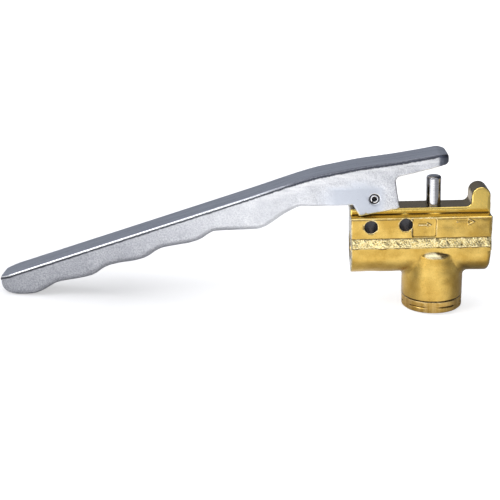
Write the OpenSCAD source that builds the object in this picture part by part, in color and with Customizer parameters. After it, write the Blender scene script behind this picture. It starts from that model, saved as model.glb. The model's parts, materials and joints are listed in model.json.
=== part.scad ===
// Lever-operated spray valve. A cast squeeze lever turns on a spring pin in the ear of a forged
// brass T-shaped body, and its short arm pushes a stem that lifts a spring-loaded poppet off its seat.
// Origin: middle of the bottom cap's outer face, on the stem axis. +X is the flow direction, +Z is up.

/* [Body] */
// Stem axis to the inlet face
inlet_reach = 36; // [35:0.1:38]
// Stem axis to the outlet face
outlet_reach = 23.6; // [23.6:0.1:27]
// Half depth of the block and radius of the half-round barrel below it
barrel_r = 11.75; // [11.5:0.05:12.25]
// Height of the flow axis above the bottom face
flow_z = 28; // [28:0.05:28.2]
// Radius of the boss that holds the poppet
boss_r = 13.15; // [13:0.05:13.6]
// Height of the ledge on each side of the rail
ledge_z = 43.3; // [43.25:0.05:43.4]
// Height of the polished rail top
rail_z = 46; // [45.8:0.05:46.2]
// Thickness of the rail and of the pivot ear
rail_w = 11.6; // [11:0.1:11.6]
// Height of the horn above the rail
horn_h = 8.4; // [7:0.1:9]
// Width of the horn along the flow
horn_w = 8.1; // [7.5:0.1:8.5]

/* [Ports] */
// Drilled diameter of the quarter-inch pipe ports
port_d = 11.1; // [10.9:0.1:11.5]
// Depth of the inlet port
inlet_depth = 14; // [13:0.1:14.5]
// Depth of the outlet port
outlet_depth = 12; // [11.5:0.1:12]
// Diameter of the two fixing holes through the block
fix_hole_d = 5.5; // [5:0.1:5.5]
// Stem axis to the fixing hole near the inlet
fix_inlet_x = 27.5; // [27:0.1:28]
// Stem axis to the fixing hole near the stem
fix_stem_x = 12.7; // [12.3:0.1:13]

/* [Lever] */
// Width of the lever
lever_w = 17; // [16.6:0.1:18]
// Stem axis to the lever pivot
pivot_x = 25.9; // [25.8:0.05:26]
// Height of the lever pivot
pivot_z = 51; // [50.95:0.05:51.05]
// Angle of the long arm below the flow axis
arm_droop = 17.5; // [17.4:0.05:17.6]
// Distance between finger grooves, along the flow axis
groove_pitch = 23.8; // [23.6:0.1:24]
// Depth of a finger groove
groove_depth = 1.9; // [1:0.1:2.2]
// Diameter of the slotted spring pin
pin_d = 3.97; // [3.9:0.01:3.98]

/* [Stem and poppet] */
// Diameter of the stem
stem_d = 6.35; // [6.3:0.01:6.35]
// Height of the stem's top when the valve is shut
stem_top_z = 58.7; // [58:0.1:58.8]
// Radius of the opening in the seat
orifice_r = 4.3; // [4.1:0.05:4.5]
// Wire diameter of the closing spring
wire_d = 1.2; // [1:0.05:1.3]
// Turns of the closing spring
spring_turns = 5; // [4:0.5:5]

/* [Hidden] */
$fn = 64;

eps = 0.01;                            // overlap that joins the pieces of one casting
fit = 0.05;                            // clearance between pieces that slide or turn
stem_r = stem_d / 2;
stem_bore_r = stem_r + fit;

// Bottom cap and the bore behind it
flange_h = 5.15;                       // flange of the cap, seen below the boss
boss_low_z = flange_h + fit;           // bottom face of the boss
thread_r = 10.4;                       // threaded plug of the cap
plug_z = 13.1;                         // inner end of the plug
cap_ring_r = 11.9;                     // pocket of the cap's O-ring
cap_ring_h = 1.6;
cap_flats = 6;                         // shallow flats for a wrench
cap_flat_depth = 0.42;
cap_flat_turn = -5.5;                  // the front flat faces a little to the left
spring_floor_z = 5.6;                  // where the spring stands in the cap

// Chamber, seat and flow passages
chamber_r = 8.5;
shelf_z = 28;                          // shelf that the seat is pressed against
seat_low_z = 24.8;
seat_lip_z = 24.3;                     // sealing lip of the seat
seat_groove_z = 25.7;                  // groove of the seat's O-ring
seat_groove_h = 1.5;
seat_groove_depth = 1.35;
cage_wall = 1.35;
passage_r = 2.5;
passage_offset = 2.8;                  // the inlet passage leaves the port this far below its axis
passage_drop = 24;                     // angle of the inlet passage below the flow axis
outlet_passage_r = 2.5;
outlet_passage_z = 30.7;

// Gland above the seat: retaining ring, bushing, backup ring, O-ring, spacer, O-ring, backup ring
// and wiper, from the bottom up, with a gap of fit between neighbours
gland_r = 6;                           // bore that holds the stem's seals
clip_groove_z = 33;
clip_groove_h = 0.9;
clip_groove_depth = 0.6;
gland_heights = [0.8, 1.35, 0.75, 1.65, 0.8, 1.65, 1, 1.55];

// Stem and the pieces clamped on its lower end
seal_top_z = seat_lip_z - fit;         // the disc seal just touches the seat's lip
seal_h = 1.8;
disc_r = 5.6;                          // radius of the disc seal
shoulder_z = seal_top_z + 0.75;        // step in the stem that the washer is clamped against
neck_r = 2.5;
neck_z = 31;
neck_cone_h = 0.6;
stud_r = 1.95;
stud_low_z = 13.6;
stud_hole_r = stud_r + 0.03;           // hole in the pieces clamped on the stud
poppet_r = 6.3;
poppet_low_z = 18;                     // face that the spring pushes on
hub_h = 0.8;                           // collar of the poppet, inside the spring
nut_low_z = 14.4;
nut_flats = 7;
washer_h = 0.8;                        // washer under the spring
spring_low_z = spring_floor_z + washer_h + fit;
spring_high_z = poppet_low_z - fit;
spring_r = 5.35;

// Body details
band_low_z = 30;                       // rough band where the forging's flash was trimmed
band_high_z = 34;
band_proud = 0.25;
panel_w = 10;                          // sunk panel beside the stem axis
panel_depth = 0.4;
panel_low_z = 34.6;
ear_r = 5.6;                           // pivot ear, hidden between the lever's cheeks
fix_inlet_z = 39.5;
fix_stem_z = 40.2;

// Lever details
slot_w = rail_w + 0.4;
lever_tip_x = 6.05;
lever_nose_x = -193;
arm_ref = [-55, 60.5];                 // where the straight back of the long arm ends
first_groove_x = -166.5;
grooves = 3;
groove_peak = 0.7;                     // share of the pitch over which the arm thickens
arm_thin = 10.4;                       // thickness of the arm in a groove

// Point at fraction t between b and c, on a smooth curve that also heeds a and d
function curve_point(a, b, c, d, t) =
    b + t * (c - a) / 2 + t * t * (a - 2.5 * b + 2 * c - d / 2)
      + t * t * t * (d - a + 3 * (b - c)) / 2;

// Lower and upper face of gland piece i
function gland_low(i) = i == 0 ? clip_groove_z + fit : gland_high(i - 1) + fit;
function gland_high(i) = gland_low(i) + gland_heights[i];

// Smooth curve through every point of pts, with n steps between neighbours
function curve(pts, n) =
    let (first = 2 * pts[0] - pts[1], last = 2 * pts[len(pts) - 1] - pts[len(pts) - 2])
    let (p = concat([first], pts, [last]))
    concat([for (i = [1 : len(pts) - 1], k = [0 : n - 1])
                curve_point(p[i - 1], p[i], p[i + 1], p[i + 2], k / n)],
           [pts[len(pts) - 1]]);

// Height of the long arm's back at x
function back_z(x) = arm_ref[1] + (x - arm_ref[0]) * tan(arm_droop);

// Growth of the arm's thickness along one finger groove, from 0 to 1 and back
function swell(u) = u < groove_peak ? (1 - cos(180 * u / groove_peak)) / 2
                                    : (1 + cos(180 * (u - groove_peak) / (1 - groove_peak))) / 2;

// Point on the underside of the grooved stretch, s pitches from its thinnest place
function groove_point(s) =
    let (x = first_groove_x + s * groove_pitch)
    [x, back_z(x) - arm_thin - groove_depth * swell(s - floor(s))];

module tube(r_out, r_in, low, high) {
    translate([0, 0, low]) difference() {
        cylinder(h = high - low, r = r_out);
        translate([0, 0, -1]) cylinder(h = high - low + 2, r = r_in);
    }
}

// Cylinder along X between two stations, at height z
module x_rod(r, x0, x1, z) {
    translate([x0, 0, z]) rotate([0, 90, 0]) cylinder(h = x1 - x0, r = r);
}

// Cylinder across the valve at (x, z), wide enough to pass right through
module y_rod(r, x, z, len) {
    translate([x, 0, z]) rotate([90, 0, 0]) cylinder(h = len, r = r, center = true);
}

// Plate of thickness w whose outline is drawn in the X-Z plane
module side_plate(w) {
    rotate([90, 0, 0]) linear_extrude(height = w, center = true) children();
}

// Ring that fills a gland as a squeezed O-ring does: rounded to nearly square
module seal_ring(r_in, r_out, low, high) {
    corner = min(r_out - r_in, high - low) / 4;
    rotate_extrude() polygon([
        for (q = [[r_out - corner, high - corner, 0], [r_in + corner, high - corner, 90],
                  [r_in + corner, low + corner, 180], [r_out - corner, low + corner, 270]],
             a = [0 : 22.5 : 90])
            [q[0] + corner * cos(q[2] + a), q[1] + corner * sin(q[2] + a)]]);
}

// ---- Body ----

// Generic flow arrow of a given length, pointing along +X
module flow_arrow(length) {
    scale([length, length]) polygon([[0, 0.06], [0.62, 0.06], [0.62, 0.2], [1, 0],
                                     [0.62, -0.2], [0.62, -0.06], [0, -0.06]]);
}

// Half-round barrel: square at the inlet, with a rounded rim at the outlet
module barrel() {
    rim = 1.8;
    translate([0, 0, flow_z]) rotate([0, 90, 0]) rotate_extrude() polygon(concat(
        [[0, -inlet_reach], [barrel_r - 0.3, -inlet_reach], [barrel_r, -inlet_reach + 0.3]],
        [for (a = [0 : 15 : 90])
            [barrel_r - rim + rim * cos(a), outlet_reach - rim + rim * sin(a)]],
        [[0, outlet_reach]]));
}

module barrel_and_block() {
    barrel();
    translate([-inlet_reach, -barrel_r, flow_z])
        cube([inlet_reach + outlet_reach, 2 * barrel_r, ledge_z - flow_z]);
    translate([-inlet_reach + 0.6, -barrel_r - band_proud, band_low_z])
        cube([inlet_reach + outlet_reach - 1.2, 2 * (barrel_r + band_proud),
              band_high_z - band_low_z]);
}

module rail_and_horn() {
    horn_r = horn_w / 2;
    horn_x = outlet_reach - horn_r;
    blend = 2.4;
    translate([-inlet_reach, -rail_w / 2, ledge_z - 1])
        cube([inlet_reach + outlet_reach, rail_w, rail_z - ledge_z + 1]);
    side_plate(rail_w) {
        translate([horn_x - horn_r, rail_z - eps]) square([horn_w, horn_h - horn_r + eps]);
        translate([horn_x, rail_z + horn_h - horn_r]) circle(r = horn_r);
        difference() {
            translate([horn_x - horn_r - blend, rail_z - eps]) square([blend + eps, blend + eps]);
            translate([horn_x - horn_r - blend, rail_z + blend]) circle(r = blend);
        }
    }
}

module pivot_ear() {
    side_plate(rail_w) {
        translate([-pivot_x, pivot_z]) circle(r = ear_r);
        translate([-pivot_x - ear_r, rail_z - eps]) square([2 * ear_r, pivot_z - rail_z + eps]);
    }
}

module boss() {
    shoulder_low = 24.9;
    shoulder_high = 27.6;
    edge = 0.3;
    translate([0, 0, boss_low_z]) cylinder(h = edge, r1 = boss_r - edge, r2 = boss_r);
    translate([0, 0, boss_low_z + edge - eps])
        cylinder(h = shoulder_low - boss_low_z - edge + eps, r = boss_r);
    translate([0, 0, shoulder_low - eps])
        cylinder(h = shoulder_high - shoulder_low, r1 = boss_r, r2 = barrel_r - 0.1);
}

// Sunk panels on the front and on the back of the block
module panels() {
    for (side = [-1, 1])
        translate([-panel_w, side * barrel_r - panel_depth, panel_low_z])
            cube([panel_w, 2 * panel_depth, ledge_z - 0.5 - panel_low_z]);
}

// Raised arrows, one in each sunk panel and one beside it
module body_arrows() {
    for (side = [-1, 1], spot = [[-7.6, 40, 5.8, panel_depth], [8.2, 41.4, 8, 0]])
        translate([spot[0], side * (barrel_r - spot[3] + 0.05), spot[1]])
            side_plate(0.6) flow_arrow(spot[2]);
}

module body_bores() {
    chamfer = 0.9;
    run_in = 1.6;
    port_r = port_d / 2;
    inlet_end_x = -inlet_reach + inlet_depth;
    passage_len = (-inlet_end_x - chamber_r) / cos(passage_drop);
    // ports, with a chamfer at each mouth
    x_rod(port_r, -inlet_reach - 1, inlet_end_x, flow_z);
    x_rod(port_r, outlet_reach - outlet_depth, outlet_reach + 1, flow_z);
    for (mouth = [[-inlet_reach, 90], [outlet_reach, -90]])
        translate([mouth[0], 0, flow_z]) rotate([0, mouth[1], 0]) translate([0, 0, -eps])
            cylinder(h = chamfer, r1 = port_r + chamfer, r2 = port_r);
    // passage from the inlet port down to the chamber below the seat
    translate([inlet_end_x, 0, flow_z - passage_offset]) rotate([0, 90 + passage_drop, 0])
        translate([0, 0, -run_in]) cylinder(h = passage_len + 2 * run_in, r = passage_r);
    // passage from above the seat to the outlet port
    x_rod(outlet_passage_r, 0, outlet_reach - outlet_depth + 1, outlet_passage_z);
    // stepped bore along the stem, from the cap upward
    cylinder(h = plug_z + 0.1, r = thread_r + fit);
    cylinder(h = boss_low_z + cap_ring_h, r = cap_ring_r);
    cylinder(h = shelf_z, r = chamber_r);
    cylinder(h = ledge_z - 0.3, r = gland_r);       // leaves a thin roof over the wiper
    cylinder(h = rail_z + 1, r = stem_bore_r);
    translate([0, 0, clip_groove_z]) cylinder(h = clip_groove_h, r = gland_r + clip_groove_depth);
    // fixing holes and pin hole
    y_rod(fix_hole_d / 2, -fix_inlet_x, fix_inlet_z, 40);
    y_rod(fix_hole_d / 2, -fix_stem_x, fix_stem_z, 40);
    y_rod(pin_d / 2 + 0.015, -pivot_x, pivot_z, 40);
}

module valve_body() {
    color("goldenrod") difference() {
        union() {
            difference() {
                union() {
                    barrel_and_block();
                    rail_and_horn();
                    boss();
                }
                panels();
            }
            pivot_ear();
            body_arrows();
        }
        body_bores();
    }
}

// ---- Lever ----

// Outline of the lever in the X-Z plane, anticlockwise from the nose along the underside
module lever_outline() {
    step = 0.1;
    nose = [[-190.6, 18.6], [lever_nose_x, 14.8], [-191, 11.7]];
    nose_pad = [[-186.5, 10.4], [-181, 10], [-176, 10.3], [-171.8, 11.9]];
    last_groove = [[-91, 37.6], [-80, 38], [-74.6, 38.4], [-70, 40.7], [-64.5, 44.5], [-58, 47.8],
                   [-54, 48.4]];
    cheek = [[-34.9, 48.4], [-32.5, 43.6], [-31.8, 43.4], [-15.9, 46.4], [-15.1, 47.2],
             [-17, 58.8], [-16.2, 60.05]];
    tip = [[1.2, 64.15], [4.5, 64.9], [lever_tip_x, 66], [5.75, 67.4], [4.7, 69.2], [1.4, 69.85]];
    short_back = [[-5, 68.75], [-17, 66.95], [-31, 65.2], [-42, 63.3], arm_ref,
                  [-80, back_z(-80)]];
    polygon(concat(
        curve(concat(nose, nose_pad), 5),
        [for (s = [0 : step : grooves]) groove_point(s)],
        curve(last_groove, 5),
        cheek,
        curve(tip, 5),
        curve(short_back, 6)));
}

// Outline of the lever seen from above: round nose, and a tip with rounded corners
module lever_plan() {
    nose_r = lever_w / 2;
    tip_r = 4.6;
    nose_centre = lever_nose_x + nose_r;
    tip_centre = lever_tip_x - tip_r;
    translate([nose_centre, 0]) circle(r = nose_r);
    translate([nose_centre, -nose_r]) square([tip_centre - nose_centre, lever_w]);
    translate([0, tip_r - nose_r]) square([lever_tip_x, lever_w - 2 * tip_r]);
    for (side = [-1, 1])
        translate([tip_centre, side * (nose_r - tip_r)]) circle(r = tip_r);
}

// Space between the cheeks: it clears the ear and the rail while the lever turns
module lever_slot() {
    side_plate(slot_w) {
        translate([-pivot_x, pivot_z]) circle(r = ear_r + 0.6);
        translate([-pivot_x - ear_r - 2.6, ledge_z - 5]) square([40, pivot_z - ledge_z + 5]);
    }
}

module lever() {
    color("silver") difference() {
        intersection() {
            side_plate(lever_w + 1) lever_outline();
            linear_extrude(height = 2 * pivot_z) lever_plan();
        }
        lever_slot();
        y_rod(pin_d / 2 + fit, -pivot_x, pivot_z, 40);
    }
}

module pivot_pin() {
    pin_r = pin_d / 2;
    wall = 0.85;
    color("dimgray") translate([-pivot_x, 0, pivot_z]) rotate([90, 0, 0]) difference() {
        cylinder(h = lever_w - 0.2, r = pin_r, center = true);
        cylinder(h = lever_w + 2, r = pin_r - wall, center = true);
        rotate([0, 0, -120]) translate([0, -0.3, -lever_w]) cube([pin_r + 1, 0.6, 2 * lever_w]);
    }
}

// ---- Stem seals, from the top of the gland down ----

module gland_tube(i) {
    tube(gland_r - fit, stem_bore_r, gland_low(i), gland_high(i));
}

module gland_o_ring(i) {
    seal_ring(stem_bore_r, gland_r - fit, gland_low(i), gland_high(i));
}

module stem_wiper() {
    color("darkslategray") gland_tube(7);
}

module upper_backup_ring() {
    color("white") gland_tube(6);
}

module upper_o_ring() {
    color("black") gland_o_ring(5);
}

module seal_spacer() {
    color("gold") gland_tube(4);
}

module lower_o_ring() {
    color("black") gland_o_ring(3);
}

module lower_backup_ring() {
    color("white") gland_tube(2);
}

module stem_bushing() {
    color("gold") gland_tube(1);
}

// Open ring in a groove of the gland, which carries the bushing
module bushing_retaining_ring() {
    mouth = 6;
    bite = 0.55;
    ring_w = 1.65;
    color("gray") difference() {
        tube(gland_r + bite, gland_r + bite - ring_w, gland_low(0), gland_high(0));
        translate([-mouth / 2, 0, clip_groove_z]) cube([mouth, 2 * gland_r, clip_groove_h]);
    }
}

// ---- Seat and cage ----

module valve_seat() {
    color("silver") difference() {
        union() {
            tube(chamber_r - fit, orifice_r, seat_low_z, shelf_z - fit);
            tube(orifice_r + 0.6, orifice_r, seat_lip_z, seat_low_z + eps);
        }
        tube(chamber_r + 1, chamber_r - seat_groove_depth, seat_groove_z,
             seat_groove_z + seat_groove_h);
    }
}

module seat_o_ring() {
    color("black")
        seal_ring(chamber_r - seat_groove_depth + fit, chamber_r - 0.02, seat_groove_z + fit,
                  seat_groove_z + seat_groove_h - fit);
}

// Sleeve that the cap presses against the seat, with windows for the flow
module seat_cage() {
    window_r = 2.9;
    window_z = 18.9;
    color("silver") difference() {
        tube(chamber_r - fit, chamber_r - fit - cage_wall, plug_z + fit, seat_low_z - fit);
        y_rod(window_r, 0, window_z, 40);
        x_rod(window_r, -20, 20, window_z);
    }
}

// ---- Stem and what is clamped on it ----

module stem() {
    dome = 0.9;
    color("lightgray") rotate_extrude() polygon(concat(
        [[0, stud_low_z], [stud_r, stud_low_z], [stud_r, shoulder_z], [neck_r, shoulder_z],
         [neck_r, neck_z], [stem_r, neck_z + neck_cone_h]],
        [for (a = [0 : 15 : 90])
            [stem_r - dome + dome * cos(a), stem_top_z - dome + dome * sin(a)]],
        [[0, stem_top_z]]));
}

module seal_washer() {
    color("silver") tube(orifice_r - 0.6, stud_hole_r, seal_top_z + 0.02, shoulder_z - 0.02);
}

module poppet_seal() {
    color("khaki") tube(disc_r, stud_hole_r, seal_top_z - seal_h, seal_top_z);
}

// Brass cup that holds the disc seal and carries the spring's thrust
module poppet() {
    color("goldenrod") difference() {
        union() {
            tube(poppet_r, stud_hole_r, poppet_low_z, seal_top_z - 0.6);
            tube(spring_r - wire_d / 2 - 0.2, stud_hole_r, poppet_low_z - hub_h,
                 poppet_low_z + eps);
        }
        translate([0, 0, seal_top_z - seal_h - 0.02]) cylinder(h = 2 * seal_h, r = disc_r + 0.03);
    }
}

module poppet_nut() {
    color("silver") difference() {
        translate([0, 0, nut_low_z])
            cylinder(h = poppet_low_z - hub_h - 0.02 - nut_low_z, r = nut_flats / sqrt(3), $fn = 6);
        cylinder(h = poppet_low_z, r = stud_hole_r);
    }
}

// ---- Spring and cap ----

module spring_washer() {
    color("silver") tube(6.4, 3.6, spring_floor_z + 0.02, spring_low_z - fit / 2);
}

// Closing spring as a helix of round wire, with flat ground ends
module return_spring() {
    sides = 8;
    steps = 24;
    wire_r = wire_d / 2;
    low = spring_low_z + wire_r;
    rise = spring_high_z - spring_low_z - wire_d;
    rings = spring_turns * steps;
    points = [for (i = [0 : rings], j = [0 : sides - 1])
                 let (a = 360 * i / steps, b = 360 * j / sides, r = spring_r + wire_r * cos(b))
                 [r * cos(a), r * sin(a), low + rise * i / rings + wire_r * sin(b)]];
    walls = [for (i = [0 : rings - 1], j = [0 : sides - 1])
                let (k = (j + 1) % sides)
                [i * sides + j, i * sides + k, (i + 1) * sides + k, (i + 1) * sides + j]];
    ends = [[for (j = [sides - 1 : -1 : 0]) j], [for (j = [0 : sides - 1]) rings * sides + j]];
    color("gray") polyhedron(points = points, faces = concat(walls, ends), convexity = 10);
}

module bottom_cap() {
    groove_z = 2.6;
    groove = 0.3;
    color("darkgoldenrod") difference() {
        rotate_extrude() polygon([
            [0, 0], [boss_r - 1, 0], [boss_r - 0.3, 0.3], [boss_r, 1],
            [boss_r, groove_z - groove], [boss_r - groove, groove_z], [boss_r, groove_z + groove],
            [boss_r, flange_h - 0.3], [boss_r - 0.3, flange_h], [thread_r, flange_h],
            [thread_r, plug_z - 0.5], [thread_r - 0.5, plug_z], [0, plug_z]]);
        translate([0, 0, spring_floor_z]) cylinder(h = 20, r = spring_r + wire_d / 2 + 0.6);
        for (i = [0 : cap_flats - 1])
            rotate([0, 0, 360 * i / cap_flats + cap_flat_turn]) translate([-boss_r, -boss_r - 1, -1])
                cube([2 * boss_r, 1 + cap_flat_depth, flange_h + 2]);
    }
}

module cap_o_ring() {
    color("black") seal_ring(thread_r + 0.08, cap_ring_r - 0.05, boss_low_z, boss_low_z + 1.5);
}

valve_body();
lever();
pivot_pin();
stem();
stem_wiper();
upper_backup_ring();
upper_o_ring();
seal_spacer();
lower_o_ring();
lower_backup_ring();
stem_bushing();
bushing_retaining_ring();
valve_seat();
seat_o_ring();
seat_cage();
seal_washer();
poppet_seal();
poppet();
poppet_nut();
spring_washer();
return_spring();
bottom_cap();
cap_o_ring();
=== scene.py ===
"""Looks of a lever-operated spray valve: forged brass body, cast aluminium squeeze lever."""
import json
import math

import bpy
import numpy as np
import openvdb
from mathutils import Matrix, Vector

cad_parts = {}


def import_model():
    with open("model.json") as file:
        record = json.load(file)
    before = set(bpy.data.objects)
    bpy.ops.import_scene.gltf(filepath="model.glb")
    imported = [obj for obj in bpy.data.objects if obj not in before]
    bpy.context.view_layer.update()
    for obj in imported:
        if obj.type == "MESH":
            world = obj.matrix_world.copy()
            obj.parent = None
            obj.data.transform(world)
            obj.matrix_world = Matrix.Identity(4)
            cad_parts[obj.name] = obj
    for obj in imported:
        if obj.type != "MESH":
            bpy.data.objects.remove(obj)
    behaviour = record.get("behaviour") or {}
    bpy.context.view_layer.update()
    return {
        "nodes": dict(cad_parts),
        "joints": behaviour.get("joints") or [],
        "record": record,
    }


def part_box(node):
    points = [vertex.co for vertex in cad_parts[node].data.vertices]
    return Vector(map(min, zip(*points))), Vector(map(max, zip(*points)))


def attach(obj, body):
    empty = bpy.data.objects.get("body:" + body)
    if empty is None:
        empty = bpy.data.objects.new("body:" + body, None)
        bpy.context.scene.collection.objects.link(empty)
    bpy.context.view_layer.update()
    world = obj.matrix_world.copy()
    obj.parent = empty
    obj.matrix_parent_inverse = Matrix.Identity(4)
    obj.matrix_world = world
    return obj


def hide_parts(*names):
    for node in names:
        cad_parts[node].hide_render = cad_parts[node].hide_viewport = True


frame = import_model()
record = frame["record"]
nodes = frame["nodes"]

MM = 0.001


def place(points):
    """Points in metres as plain millimetre arrays."""
    return [np.array(p, float) / MM for p in points]


def mount(name):
    """(position, radius, length) of a mount of the record, in millimetres."""
    found = [m for m in record["mounts"] if m["name"] == name][0]
    return np.array(found["pos_m"]) / MM, found["dims"]["r_mm"], found["dims"]["length_mm"]


# ---- Sizes, in millimetres ----

body_low, body_high = place(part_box("valve_body"))
stem_low, stem_high = place(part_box("stem"))
lever_low, lever_high = place(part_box("lever"))
pin_low, pin_high = place(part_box("pivot_pin"))
pivot = np.array([j for j in frame["joints"] if j["name"] == "lever_pivot"][0]["pos_m"]) / MM
inlet_at, port_r, inlet_len = mount("inlet_port")
outlet_at, _, outlet_len = mount("outlet_port")
fixing_holes = [mount("fixing_hole_inlet"), mount("fixing_hole_stem")]

flow_z = inlet_at[2]
inlet_x, outlet_x = body_low[0], body_high[0]
barrel_r = fixing_holes[0][2] / 2       # the holes go through from side to side
boss_r = body_high[1]
ear_r = body_high[2] - pivot[2]
stem_r = stem_high[0]
pin_r = (pin_high[2] - pin_low[2]) / 2
lever_half = lever_high[1]

LEDGE_Z = 43.3
RAIL_Z = 46.0
RAIL_HALF = 5.8
HORN_W = 8.1
HORN_TOP_Z = 54.4
BAND = (30.0, 34.0)            # rough band where the forging's flash was trimmed
BAND_PROUD = 0.25
PANEL_X = (-10.0, 0.0)         # sunk panel beside the stem
PANEL_DEPTH = 0.4
ARROW_PROUD = 0.3
ARROW_LINE = 0.42              # width of the raised outline
INLET_EDGE = 0.3
CAP_PLUG_R = 10.4              # the cap's part that goes into the body
SLOT_HALF = 6.0                # half width of the space between the lever's cheeks
THREAD_PITCH = 1.411           # 18 threads to the inch
THREAD_DEPTH = 0.85
WIDE = 2.0                     # reach of the hollow attribute

# Light that the floor gives off: to the camera near the valve, and as a table that metal mirrors
SHADOW_GLOW = 0.76
TABLE_GLOW = 0.91
SIDE_GLOW = 0.60


# ---- Signed distances on a grid ----

class Block:
    """A block of space on a regular grid, in millimetres. Distances are below 0 inside a form."""

    def __init__(self, low, high, step):
        self.step = step
        self.low = np.array(low, float)
        counts = np.ceil((np.array(high) - self.low) / step).astype(int) + 1
        axes = [(self.low[i] + step * np.arange(counts[i])).astype(np.float32) for i in range(3)]
        self.x, self.y, self.z = np.meshgrid(*axes, indexing="ij", sparse=True)
        self.shape = tuple(counts)

    def sample(self, distance, points):
        """Distance at points between the grid's own, by trilinear interpolation."""
        at = (points - self.low) / self.step
        top = np.array(self.shape) - 2
        cell = np.clip(np.floor(at).astype(int), 0, top)
        t = np.clip(at - cell, 0, 1)
        total = np.zeros(len(points))
        for i in (0, 1):
            for j in (0, 1):
                for k in (0, 1):
                    weight = (np.abs(1 - i - t[:, 0]) * np.abs(1 - j - t[:, 1])
                              * np.abs(1 - k - t[:, 2]))
                    total += weight * distance[cell[:, 0] + i, cell[:, 1] + j, cell[:, 2] + k]
        return total

    def slopes(self, distance, points, reach):
        """(gradient, mean of the six neighbours' distances) at points."""
        gradient = np.zeros((len(points), 3))
        mean = np.zeros(len(points))
        for axis in range(3):
            shift = np.zeros(3)
            shift[axis] = reach
            ahead = self.sample(distance, points + shift)
            behind = self.sample(distance, points - shift)
            gradient[:, axis] = (ahead - behind) / (2 * reach)
            mean += (ahead + behind) / 6
        return gradient, mean

    def to_object(self, name, whole, adaptivity, fields=None):
        """Mesh object of the surface where whole is 0, with smooth normals. Its attributes are
        convexity, above 0 on outer edges, hollow, above 0 in wide corners, and fields' values."""
        band = 4 * self.step
        distance = np.clip(whole, -band, band).astype(np.float32)
        grid = openvdb.FloatGrid(band)
        grid.copyFromArray(distance)
        points, triangles, quads = grid.convertToPolygons(isovalue=0.0, adaptivity=adaptivity)
        points = points.astype(float) * self.step + self.low
        for _ in range(2):
            gradient, _mean = self.slopes(distance, points, 0.5 * self.step)
            size = np.maximum((gradient ** 2).sum(1), 0.25)
            points -= gradient * (self.sample(distance, points) / size)[:, None]
        gradient, _mean = self.slopes(distance, points, 0.5 * self.step)
        normals = gradient / np.maximum(np.linalg.norm(gradient, axis=1), 1e-6)[:, None]
        _gradient, near = self.slopes(distance, points, 2 * self.step)
        _gradient, wide = self.slopes(whole, points, WIDE)
        marks = {"convexity": near / (2 * self.step), "hollow": -wide / WIDE}
        for key, field in (fields or {}).items():
            marks[key] = self.sample(np.broadcast_to(field, self.shape), points)
        return make_mesh(name, points * MM, triangles, quads, normals, marks)


def make_mesh(name, points, triangles, quads, normals, marks):
    """Object from point and face arrays, with a number for each point under each key of marks."""
    mesh = bpy.data.meshes.new(name)
    corners = np.concatenate([triangles.ravel(), quads.ravel()])
    sides = np.concatenate([np.full(len(triangles), 3), np.full(len(quads), 4)])
    starts = np.concatenate([[0], np.cumsum(sides)[:-1]])
    mesh.vertices.add(len(points))
    mesh.vertices.foreach_set("co", points.astype(np.float32).ravel())
    mesh.loops.add(len(corners))
    mesh.loops.foreach_set("vertex_index", corners.astype(np.int32))
    mesh.polygons.add(len(sides))
    mesh.polygons.foreach_set("loop_start", starts.astype(np.int32))
    mesh.polygons.foreach_set("loop_total", sides.astype(np.int32))
    mesh.polygons.foreach_set("use_smooth", np.ones(len(sides), bool))
    mesh.update(calc_edges=True)
    mesh.validate()
    mesh.normals_split_custom_set_from_vertices(normals.astype(np.float32))
    for key, values in marks.items():
        mark = mesh.attributes.new(key, "FLOAT", "POINT")
        mark.data.foreach_set("value", values.astype(np.float32))
    made = bpy.data.objects.new(name, mesh)
    bpy.context.scene.collection.objects.link(made)
    return made


def join(a, b, fillet):
    """Both forms, with a concave fillet where they meet."""
    corner = np.hypot(np.maximum(fillet - a, 0), np.maximum(fillet - b, 0))
    return np.maximum(fillet, np.minimum(a, b)) - corner


def trim(a, b, rounding):
    """What a and b share, with the new edge rounded."""
    corner = np.hypot(np.maximum(rounding + a, 0), np.maximum(rounding + b, 0))
    return np.minimum(-rounding, np.maximum(a, b)) + corner


def cut(a, b, rounding):
    """a without b, with the new edge rounded."""
    return trim(a, -b, rounding)


def span(v, low, high):
    """Distance of a slab between two values of v."""
    return np.maximum(low - v, v - high)


def rounded_corner(a, b, rounding):
    """Edge of two slabs, rounded, as one distance."""
    a, b = a + rounding, b + rounding
    return np.minimum(np.maximum(a, b), 0) + np.hypot(np.maximum(a, 0), np.maximum(b, 0)) - rounding


def brick(block, low, high, rounding):
    """Rounded box."""
    dx = span(block.x, low[0], high[0]) + rounding
    dy = span(block.y, low[1], high[1]) + rounding
    dz = span(block.z, low[2], high[2]) + rounding
    outside = np.sqrt(np.maximum(dx, 0) ** 2 + np.maximum(dy, 0) ** 2 + np.maximum(dz, 0) ** 2)
    return outside + np.minimum(np.maximum(np.maximum(dx, dy), dz), 0) - rounding


def waves(block, size, seed, directions=24):
    """Smooth irregular field from about -1 to 1, with bumps of the given size in millimetres."""
    rng = np.random.default_rng(seed)
    total = np.zeros(block.shape, np.float32)
    for _ in range(directions):
        way = rng.normal(size=3)
        way *= 2 * math.pi / (size * rng.uniform(1.4, 2.6) * np.linalg.norm(way))
        total += np.sin(way[0] * block.x + way[1] * block.y + way[2] * block.z
                        + rng.uniform(0, 2 * math.pi)).astype(np.float32)
    return total / math.sqrt(directions)


def arrow_outline(start, height, length):
    """Corners of a plain flow arrow that starts at (start, height) and points along +X."""
    shape = ((0, 0.06), (0.62, 0.06), (0.62, 0.2), (1, 0), (0.62, -0.2), (0.62, -0.06), (0, -0.06))
    return [(start + length * u, height + length * v) for u, v in shape]


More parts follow.
